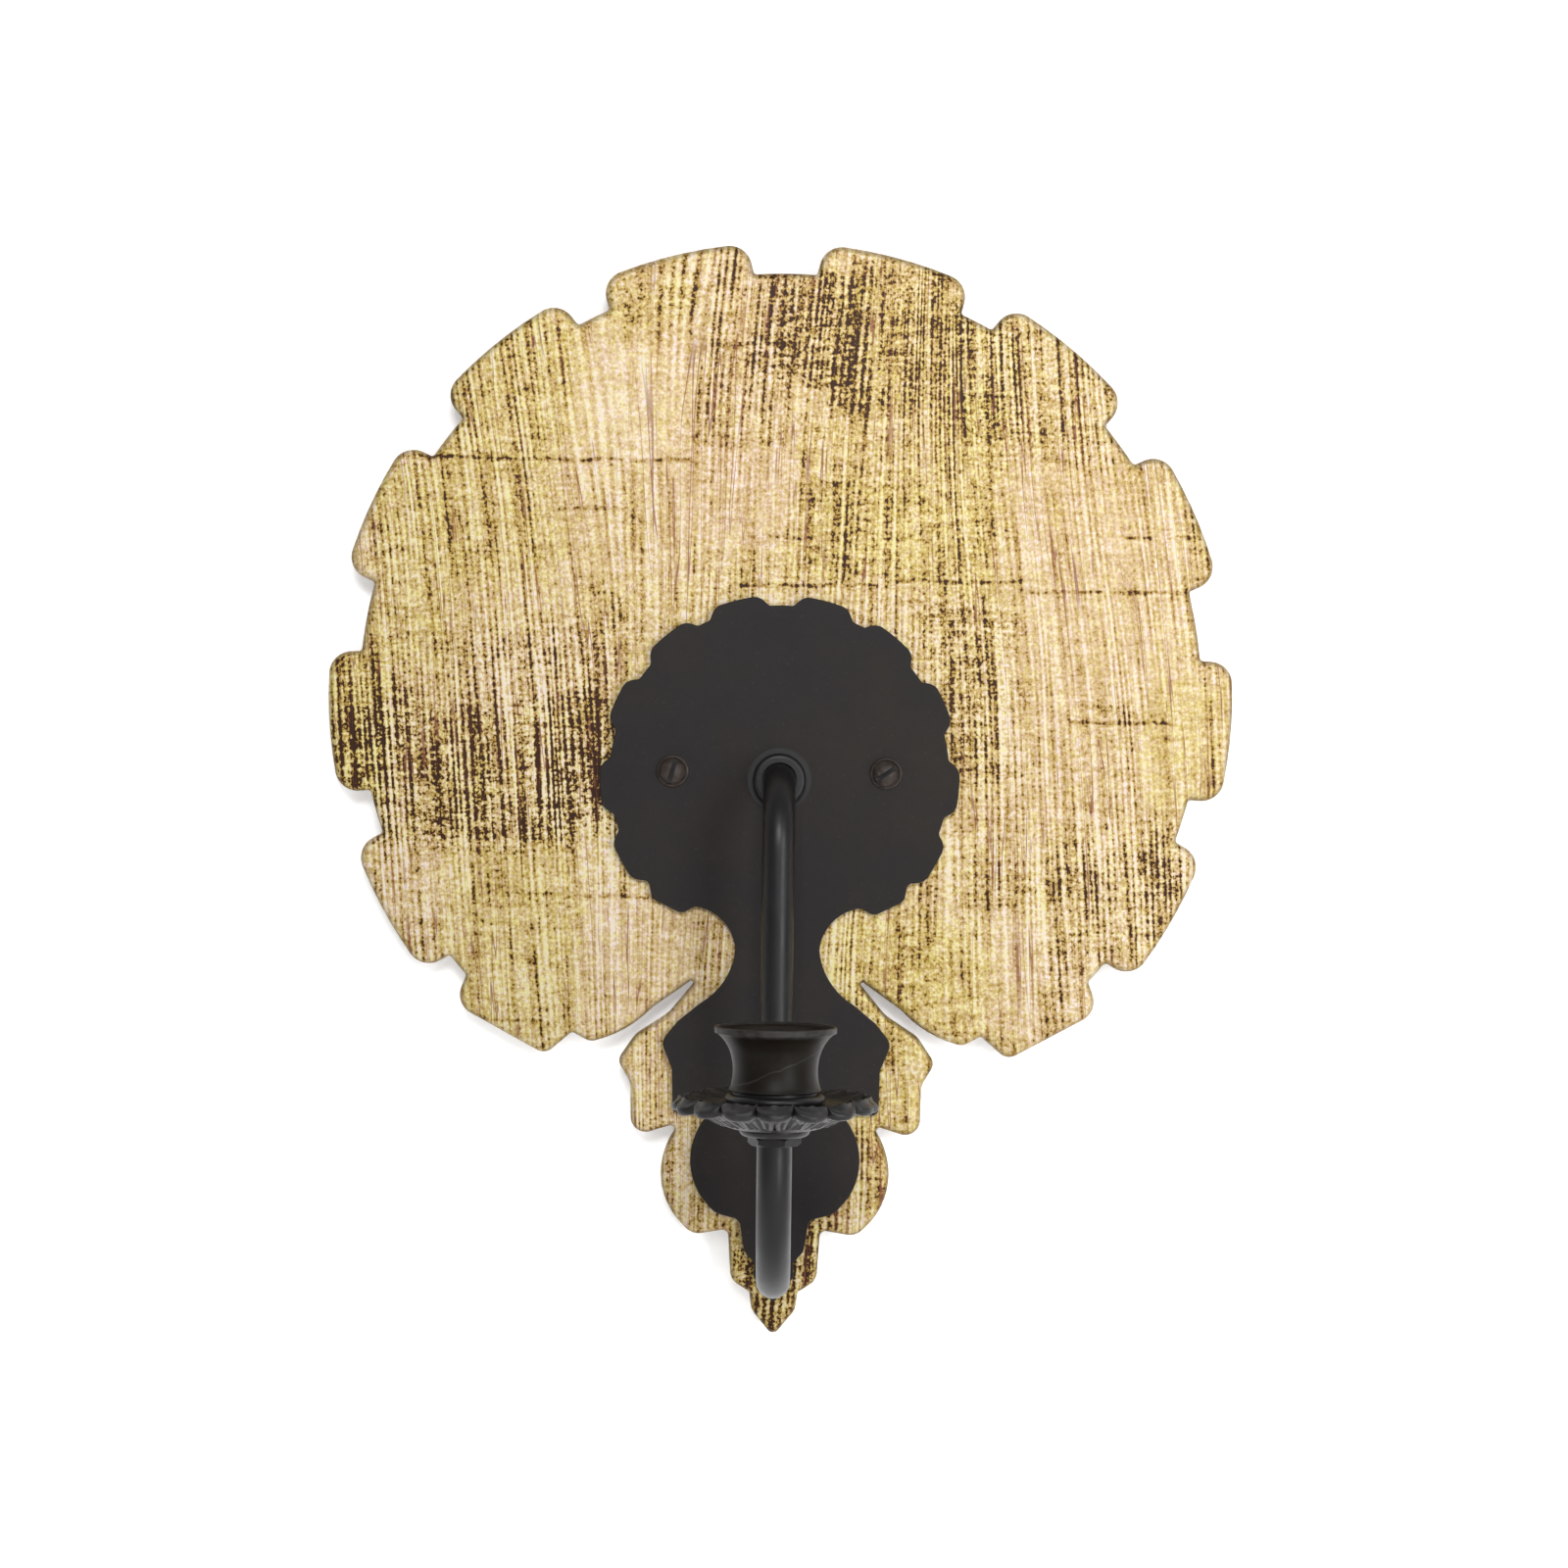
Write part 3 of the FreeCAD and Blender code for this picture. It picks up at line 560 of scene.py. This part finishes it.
def turned(name, loop, place, segments, wear=None):
    """A closed (r, z) loop turned about Z; place maps (r, angle, z, index) to a point."""
    points, faces, rubs = [], [], []
    count = len(loop)
    for k in range(segments):
        angle = 2 * math.pi * k / segments
        for j, (r, z) in enumerate(loop):
            points.append(place(r, angle, z, j))
            if wear is not None:
                rubs.append(wear(r, angle, z, j))
    for k in range(segments):
        for j in range(count):
            a, b = k * count + j, k * count + (j + 1) % count
            c, d = (b + count) % len(points), (a + count) % len(points)
            faces.append((a, b, c, d))
    return add_mesh(name, points, faces, rubs)


def add_object(name, mesh, sharp_deg):
    """A smooth-shaded object, with sharp edges where faces meet at more than sharp_deg."""
    mesh.polygons.foreach_set("use_smooth", [True] * len(mesh.polygons))
    mesh.set_sharp_from_angle(angle=math.radians(sharp_deg))
    mesh.update()
    made = bpy.data.objects.new(name, mesh)
    bpy.context.scene.collection.objects.link(made)
    return made


def add_mesh(name, points, faces, rubs=()):
    """An object from points and faces; rubs say how rubbed the metal is at each point."""
    mesh = bpy.data.meshes.new(name)
    mesh.from_pydata(points, [], faces)
    if rubs:
        mesh.attributes.new("wear", "FLOAT", "POINT").data.foreach_set("value", rubs)
    return add_object(name, mesh, 40)


def on_leg(r, angle, z):
    """A point round the front leg."""
    return r * math.cos(angle), FRONT_LEG_Y + r * math.sin(angle), z


def face_outward(mesh):
    """Turns the faces of a closed mesh to look out of it."""
    shell = bmesh.new()
    shell.from_mesh(mesh)
    bmesh.ops.recalc_face_normals(shell, faces=shell.faces)
    shell.to_mesh(mesh)
    shell.free()


def finish_piece(piece, material, body, node):
    """Gives a piece its material and slot, and puts it on a body in place of a CAD node."""
    face_outward(piece.data)
    piece.data.materials.append(material)
    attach(piece, body)
    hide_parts(node)


# ---- gilded panel's mesh ---------------------------------------------------------------------
def leafed_panel(material):
    """The CAD panel's shape cut into a fine grid, with the leaf's patches painted on its points."""
    shape = bmesh.new()
    shape.from_mesh(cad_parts["gold_panel"].data)
    touching = 0.001 * MM
    flat = math.radians(0.2)
    pitch = 4 * MM
    bmesh.ops.remove_doubles(shape, verts=shape.verts, dist=touching)
    bmesh.ops.dissolve_limit(shape, angle_limit=flat, verts=shape.verts, edges=shape.edges)
    for axis in (0, 2):
        direction = Vector((axis == 0, 0, axis == 2))
        lowest = math.ceil(panel_low[axis] / pitch)
        highest = math.floor(panel_high[axis] / pitch)
        for k in range(lowest, highest + 1):
            everything = shape.verts[:] + shape.edges[:] + shape.faces[:]
            bmesh.ops.bisect_plane(shape, geom=everything, dist=touching,
                                   plane_co=direction * (k * pitch), plane_no=direction)
    bmesh.ops.triangulate(shape, faces=[f for f in shape.faces if len(f.verts) > 4])
    mesh = bpy.data.meshes.new("gold_panel_leafed")
    shape.to_mesh(mesh)
    shape.free()
    leaf = mesh.attributes.new("leaf", "FLOAT_VECTOR", "POINT")
    values = [number for v in mesh.vertices for number in leaf_field(v.co.x, v.co.z)]
    leaf.data.foreach_set("vector", values)
    panel = add_object("gold_panel_leafed", mesh, 30)
    finish_piece(panel, material, "sconce", "gold_panel")


# ---- arm ------------------------------------------------------------------------------------
ELBOW_R = 22 * MM
CROOK_R = 42 * MM
BORE_R = 3.4 * MM
PITCH = 0.94 * MM             # 27 turns to the inch
THREAD_DEPTH = 0.42 * MM
THREAD_TOP = 20.0 * MM        # length of thread below the arm's top end
THREAD_REAR = 13.0 * MM       # length of thread at its wall end


def arm_stations():
    """(point, direction, run) along the tube's centre line, closely spaced in the threads."""
    back_leg_y = FRONT_LEG_Y + 2 * CROOK_R
    crook_y = FRONT_LEG_Y + CROOK_R
    crook_z = tube_low.z + TUBE_R + CROOK_R
    elbow_y = back_leg_y + ELBOW_R
    fine, coarse = PITCH / 8, 4 * MM
    spans = []

    def straight(start, end, step):
        """Stations along a straight run, up to but not at its end."""
        start, end = Vector(start), Vector(end)
        ahead = (end - start).normalized()
        count = max(1, round((end - start).length / step))
        spans.extend((start.lerp(end, k / count), ahead) for k in range(count))

    def arc(centre, radius, from_deg, to_deg, count):
        """Stations round an arc in the YZ plane, up to but not at its end."""
        turn = math.copysign(1.0, to_deg - from_deg)
        for k in range(count):
            a = math.radians(from_deg + (to_deg - from_deg) * k / count)
            out = Vector((0, math.cos(a), math.sin(a)))
            spans.append((Vector(centre) + out * radius, Vector((0, -math.sin(a), math.cos(a))) * turn))

    rear = tube_high.y
    straight((0, rear, 0), (0, rear - THREAD_REAR, 0), fine)
    straight((0, rear - THREAD_REAR, 0), (0, elbow_y, 0), coarse)
    arc((0, elbow_y, -ELBOW_R), ELBOW_R, 90, 180, 28)
    straight((0, back_leg_y, -ELBOW_R), (0, back_leg_y, crook_z), coarse)
    arc((0, crook_y, crook_z), CROOK_R, 0, -180, 72)
    thread_z = TUBE_TOP_Z - THREAD_TOP
    straight((0, FRONT_LEG_Y, crook_z), (0, FRONT_LEG_Y, thread_z), coarse)
    straight((0, FRONT_LEG_Y, thread_z), (0, FRONT_LEG_Y, TUBE_TOP_Z), fine)
    spans.append((Vector((0, FRONT_LEG_Y, TUBE_TOP_Z)), Vector((0, 0, 1))))

    stations, run, last = [], 0.0, spans[0][0]
    for point, ahead in spans:
        run += (point - last).length
        last = point
        stations.append((point, ahead, run))
    return stations


def thread_radius(run, total, angle):
    """Outer radius of the tube: plain, or cut by a thread near its two ends."""
    from_rear, from_top = run, total - run
    inside = max((THREAD_REAR - from_rear) / PITCH, (THREAD_TOP - from_top) / PITCH)
    if inside <= 0:
        return TUBE_R
    phase = (run / PITCH + angle / (2 * math.pi)) % 1.0
    valley = 1 - abs(2 * phase - 1)
    start = min(from_rear, from_top)
    chamfer = max(0.0, 0.5 * MM - start)
    return TUBE_R - THREAD_DEPTH * min(1.0, inside) * valley - chamfer * 0.6


def away_from(ahead, angle):
    """Direction away from the centre line where the line runs ahead."""
    side = Vector((1, 0, 0))
    return side * math.cos(angle) + ahead.cross(side) * math.sin(angle)


def arm_tube(material):
    """The arm's tube, with its two threaded ends and open bore."""
    segments = 72
    angles = [2 * math.pi * k / segments for k in range(segments)]
    stations = arm_stations()
    total = stations[-1][2]
    points, faces, rubs = [], [], []

    def join_rings(first, second):
        """Faces between two rings of points, given by the index of each ring's first point."""
        for k in range(segments):
            n = (k + 1) % segments
            faces.append((first + k, second + k, second + n, first + n))

    for point, ahead, run in stations:
        near_end = min(run, total - run) < THREAD_REAR
        for angle in angles:
            radius = thread_radius(run, total, angle)
            crest = radius > TUBE_R - 0.1 * MM
            wobble = wave.noise(Vector((3 * math.cos(angle), 3 * math.sin(angle), run * 40)))
            if radius == TUBE_R:
                radius -= 0.03 * MM * (1 + wobble)
            points.append(point + away_from(ahead, angle) * radius)
            rubs.append(0.35 if crest and near_end else 0.0)
    last = len(stations) - 1
    for j in range(last):
        join_rings(j * segments, (j + 1) * segments)

    # the two ends, each a flat ring and a length of bore that runs into the dark
    bore_depth = 14 * MM
    for j, inward in ((0, 1), (last, -1)):
        point, ahead, _ = stations[j]
        rings = [j * segments]
        for depth, radius in ((0, BORE_R), (bore_depth, BORE_R), (bore_depth, 0.2 * MM)):
            rings.append(len(points))
            for angle in angles:
                points.append(point + away_from(ahead, angle) * radius + ahead * (inward * depth))
                rubs.append(0.0)
        for outer, inner in zip(rings, rings[1:]):
            join_rings(*((inner, outer) if inward > 0 else (outer, inner)))
        cap = tuple(rings[-1] + k for k in range(segments))
        faces.append(cap if inward > 0 else cap[::-1])
    tube = add_mesh("arm_tube_threaded", points, faces, rubs)
    finish_piece(tube, material, "sconce", "arm_tube")


# ---- drip pan -------------------------------------------------------------------------------
PAN_LEAVES = 16


def pan_loop():
    """Cross-section of the pan, and the indices at which its rim, bowl and foot start."""
    top, low, out = pan_high.z, pan_low.z, PAN_R
    bore = TUBE_R + 0.05 * MM
    dish = blend_run(from_level(top, [(15.4, -2.7), (20, -2.5), (25, -1.3), (28, -0.15)]), 8)
    edge = [(out, top - 1.2 * MM), (out - 0.2 * MM, top - 2.6 * MM), (out - 1.2 * MM, top - 3.4 * MM)]
    rim = blend_run(from_level(top, [(28.9, -0.1)]) + edge + from_level(top, [(28.0, -3.3)]), 6)
    under = [(26.8, -3.5), (24.2, -4.6), (20.8, -6.2), (16.8, -8.2), (13.4, -9.6)]
    bowl = blend_run(from_level(top, under) + [(11.6 * MM, low)], 12)
    foot = [(bore, low), (bore, top - 2.7 * MM)]
    rim_start = len(dish)
    bowl_start = rim_start + len(rim)
    foot_start = bowl_start + len(bowl)
    return dish + rim + bowl + foot, rim_start, bowl_start, foot_start


def drip_pan(material):
    """The cast pan: leaves round the rim and in two rows under the bowl."""
    loop, rim_start, bowl_start, foot_start = pan_loop()
    bowl_count = foot_start - bowl_start

    def leaf(angle, shift=0.0):
        """Place across a leaf, -1 to 1, and how full the leaf is there; shift is in leaves."""
        share = (angle * PAN_LEAVES / (2 * math.pi) + 0.5 + shift) % 1.0
        across = 2 * share - 1
        return across, max(0.0, 1 - across ** 2) ** 0.5

    def shell(across, down, start, length):
        """Relief of one rounded leaf lying down the bowl, with a raised lip and a sunk vein."""
        reach = math.hypot(across * 0.95, max(0.0, down - start) / length)
        dome = max(0.0, 1 - reach ** 2) ** 0.5
        lip = math.exp(-((reach - 0.78) / 0.14) ** 2)
        vein = math.exp(-(across / 0.17) ** 2) * max(0.0, 1 - reach)
        return 0.9 * dome + 0.6 * lip - 0.5 * vein, lip

    def relief(r, angle, j):
        """Height of the leaf pattern over the plain form, and how rubbed it is."""
        across, full = leaf(angle)
        if j >= foot_start:
            return 0.0, 0.0
        if j >= bowl_start:                                # underside: two rows of rounded leaves
            down = (j - bowl_start) / bowl_count
            upper, upper_lip = shell(across, down, 0.05, 0.42)
            between, _ = leaf(angle, 0.5)
            lower, lower_lip = shell(between, down, 0.45, 0.45)
            foot = smooth_step(down, 1.0, 0.90)
            return (max(upper, lower) - 0.75) * 1.15 * MM * foot, max(upper_lip, lower_lip) * foot
        if j >= rim_start:                                 # rim: a curl on each leaf
            curl = math.exp(-(across / 0.45) ** 2)
            return (0.35 * curl - 0.25) * MM, 0.35 * curl
        outward = smooth_step(r, 17 * MM, 26 * MM)         # dish: veins that fan to the rim
        vein = math.exp(-(across / 0.22) ** 2)
        side = math.exp(-((abs(across) - 0.55) / 0.14) ** 2)
        height = (0.45 * vein + 0.25 * side - 0.5 * (1 - full)) * MM
        return height * outward, 0.5 * vein * outward

    def place(r, angle, z, j):
        """A point of the pan, with its leaf pattern, its droop and the casting's roughness."""
        _, full = leaf(angle)
        out = smooth_step(r, 22 * MM, PAN_R)
        notch = 1 - 0.10 * (1 - full) * out
        height, _ = relief(r, angle, j)
        here = Vector((math.cos(angle) * 2.2, math.sin(angle) * 2.2, z * 90))
        rough = wave.noise(here * 2.5) * 0.45 + wave.noise(here * 7) * 0.20
        free = 0.0 if j >= foot_start or r < 15.6 * MM else 1.0    # the seat under the cup is plain
        sway = (wave.noise(here * 0.8) * 0.7 - 0.2) * MM * out
        droop = (0.5 - 2.3 * full) * MM * out if j >= rim_start else -0.5 * full * MM * out
        radius = r * notch
        if j >= bowl_start:
            radius += height * 0.75 * free
            z -= height * 0.65 * free
        elif j >= rim_start:
            radius += height * free - 0.2 * MM
        else:
            z += height * free
        z += (rough * 0.5 * MM + sway + droop) * free
        radius = min(radius + rough * 0.6 * MM * free, PAN_R)
        z = min(max(z, pan_low.z), pan_high.z)
        return on_leg(radius, angle, z)

    def wear(r, angle, _, j):
        return relief(r, angle, j)[1]

    pan = turned("drip_pan_cast", loop, place, PAN_LEAVES * 24, wear)
    finish_piece(pan, material, "pan", "drip_pan")


# ---- candle cup -----------------------------------------------------------------------------
def candle_cup(material):
    """Collar-like lip over a waisted side, with the candle's bore and the nut's pocket."""
    top, low = cup_high.z, cup_low.z
    bore, pocket_r, candle_r = TUBE_R + 0.05 * MM, 8.9 * MM, 11.3 * MM
    floor, ledge = low + 1.6 * MM, low + 4.7 * MM
    side = [(13.45, 0.35), (12.95, 1.6), (12.5, 3.9), (12.4, 6.4), (12.75, 9.4), (13.7, 12.4), (15.2, 14.8)]
    flank = blend_run(from_level(low, side) + from_level(top, [(16.9, -2.15)]), 6)
    lip = rounded([(CUP_RIM_R - 0.15 * MM, top - 2.0 * MM, 0.35 * MM), (CUP_RIM_R, top, 0.4 * MM),
                   (16.6 * MM, top, 0.35 * MM)])
    funnel = [(16.3, -0.5), (14.2, -1.2), (12.4, -2.5), (11.6, -3.6)]
    mouth = blend_run(from_level(top, funnel) + [(candle_r, top - 4.6 * MM)], 5)
    inside = [(candle_r, ledge + 0.1 * MM), (candle_r - 0.15 * MM, ledge), (pocket_r, ledge),
              (pocket_r, floor), (bore, floor), (bore, low), (13.1 * MM, low)]
    loop = flank + lip + mouth + inside
    lip_start, lip_end = len(flank), len(flank) + len(lip)

    def place(r, angle, z, j):
        here = Vector((math.cos(angle) * 2, math.sin(angle) * 2, z * 120))
        dent = 0.04 * MM * (wave.noise(here) - 1) if j < lip_end else 0.0
        return on_leg(r + dent, angle, z)

    def wear(_r, _angle, _z, j):
        """The lip is rubbed bare, which also stands as a painted highlight on its edges, and the foot's
        edge is rubbed a little.
        """
        if lip_start - 2 <= j < lip_end + 1:
            return 1.0
        return 0.5 if j < 2 else 0.0

    cup = turned("candle_cup_turned", loop, place, 160, wear)
    finish_piece(cup, material, "cup", "candle_cup")


# ---- wall bumpers ---------------------------------------------------------------------------
def wall_bumper(name, material):
    """Moulded foot: a rounded pad on a wider heel, with a shallow hollow in its wall face."""
    low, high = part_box(name)
    middle = (low + high) / 2
    radius = (high.x - low.x) / 2
    thick = high.y - low.y
    axis = 0.0001 * MM            # as good as zero, but keeps the middle's points apart
    loop = rounded([(axis, 0.0, 0), (radius, 0.0, 0.3 * MM), (radius, thick * 0.35, 0.4 * MM),
                    (radius - 0.5 * MM, thick * 0.45, 0.4 * MM), (radius - 0.9 * MM, thick, 1.2 * MM),
                    (radius - 2.6 * MM, thick, 0.4 * MM), (radius - 3.0 * MM, thick - 0.7 * MM, 0.3 * MM),
                    (axis, thick - 0.7 * MM, 0)])

    def place(r, angle, height, _):
        return middle.x + r * math.cos(angle), low.y + height, middle.z - r * math.sin(angle)

    foot = turned(name + "_moulded", loop, place, 48)
    finish_piece(foot, material, "sconce", name)


# The finish of each CAD node, by how its name starts; the first that fits is taken.
NODE_FINISHES = (
    ("gold_panel", "gold_leaf"), ("dark_plate", "dark_plate_finish"), ("arm_collar", "arm_black"),
    ("arm_tube", "arm_black"), ("pan_locknut", "cast_patina"), ("pan_seat_ring", "cast_patina"),
    ("drip_pan", "cast_patina"), ("cup_seat_ring", "cast_patina"), ("candle_cup", "cup_patina"),
    ("mounting_screw", "screw_patina"), ("screw_washer", "screw_patina"), ("wall_bumper", "rubber"),
    ("", "zinc_steel"),
)


# ---- stage and light ------------------------------------------------------------------------
STAGE_SIZE = 3.0
FLOOR_Z = -0.45
WALL_GAP = 0.3 * MM           # between the sconce's back and the wall
WALL_GLOW = 0.28              # lifts the shadows on the wall, as a paler studio would
WORLD_LIGHT = 0.37

# Each lamp: name, place, width, height, watts.
LAMPS = (
    ("key", (0.04, -1.8, 0.66), 0.5, 0.40, 22),
    ("side", (0.75, -1.10, 0.0), 0.35, 0.9, 11),
    ("rear_fill", (-0.5, 0.9, 0.7), 0.8, 0.8, 10),
)
LAMP_AIM = Vector((0, -0.01, 0))


def stage_wall():
    """White wall behind the sconce; seen and felt only from its front."""
    size = STAGE_SIZE
    points = [(-size, WALL_GAP, FLOOR_Z), (size, WALL_GAP, FLOOR_Z),
              (size, WALL_GAP, size), (-size, WALL_GAP, size)]
    wall = add_mesh("wall", points, [(0, 1, 2, 3)])
    g = Graph("wall_paint", roughness=0.9)
    g.surface(g.mix(g.noise(g.place, 3.0, 2.0), (0.86, 0.86, 0.86), (0.89, 0.89, 0.89)))
    g.shader.inputs["Emission Color"].default_value = (1.0, 0.985, 0.98, 1.0)
    g.shader.inputs["Emission Strength"].default_value = WALL_GLOW
    clear = g.node("ShaderNodeBsdfTransparent", {}).outputs[0]
    behind = g.node("ShaderNodeNewGeometry", {}).outputs["Backfacing"]
    shadow = g.node("ShaderNodeLightPath", {}).outputs["Is Shadow Ray"]
    hidden = g.math("MAXIMUM", behind, shadow)
    shown = g.node("ShaderNodeMixShader", {0: hidden, 1: g.shader.outputs[0], 2: clear}).outputs[0]
    g.tree.links.new(shown, g.output.inputs["Surface"])
    wall.data.materials.append(g.material)


def stage_floor():
    """Plain pale floor, below the picture."""
    size = STAGE_SIZE
    corners = ((-size, -size), (size, -size), (size, size), (-size, size))
    points = [(x, y, FLOOR_Z) for x, y in corners]
    floor = add_mesh("floor", points, [(0, 1, 2, 3)])
    g = Graph("floor_paint", roughness=0.8)
    g.surface(g.mix(g.noise(g.place, 2.0, 2.0), (0.80, 0.80, 0.79), (0.84, 0.84, 0.83)))
    floor.data.materials.append(g.material)


def area_light(name, place, width, height, watts):
    """A rectangular lamp that points at the sconce's middle."""
    lamp = bpy.data.lights.new(name, "AREA")
    lamp.shape = "RECTANGLE"
    lamp.size = width
    lamp.size_y = height
    lamp.energy = watts
    made = bpy.data.objects.new(name, lamp)
    made.location = place
    made.rotation_euler = (LAMP_AIM - made.location).to_track_quat("-Z", "Y").to_euler()
    bpy.context.scene.collection.objects.link(made)


def make_lights():
    world = bpy.data.worlds.new("studio")
    world.use_nodes = True
    background = world.node_tree.nodes["Background"]
    background.inputs["Color"].default_value = (1.0, 1.0, 1.0, 1.0)
    background.inputs["Strength"].default_value = WORLD_LIGHT
    bpy.context.scene.world = world
    for lamp in LAMPS:
        area_light(*lamp)


# ---- the scene ------------------------------------------------------------------------------
make_camera()
bpy.context.scene.view_settings.view_transform = "Standard"
stage_wall()
stage_floor()
make_lights()

materials = {
    "gold_leaf": gilding(),
    "dark_plate_finish": plate_finish(),
    "arm_black": arm_black(),
    "cup_patina": cup_patina(),
    "cast_patina": cast_patina(),
    "screw_patina": screw_patina(),
    "zinc_steel": zinc_steel(),
    "rubber": rubber(),
}
for name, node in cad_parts.items():
    finish = next(slot for start, slot in NODE_FINISHES if name.startswith(start))
    node.data.materials.clear()
    node.data.materials.append(materials[finish])

leafed_panel(materials["gold_leaf"])
arm_tube(materials["arm_black"])
drip_pan(materials["cast_patina"])
candle_cup(materials["cup_patina"])
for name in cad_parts:
    if name.startswith("wall_bumper"):
        wall_bumper(name, materials["rubber"])
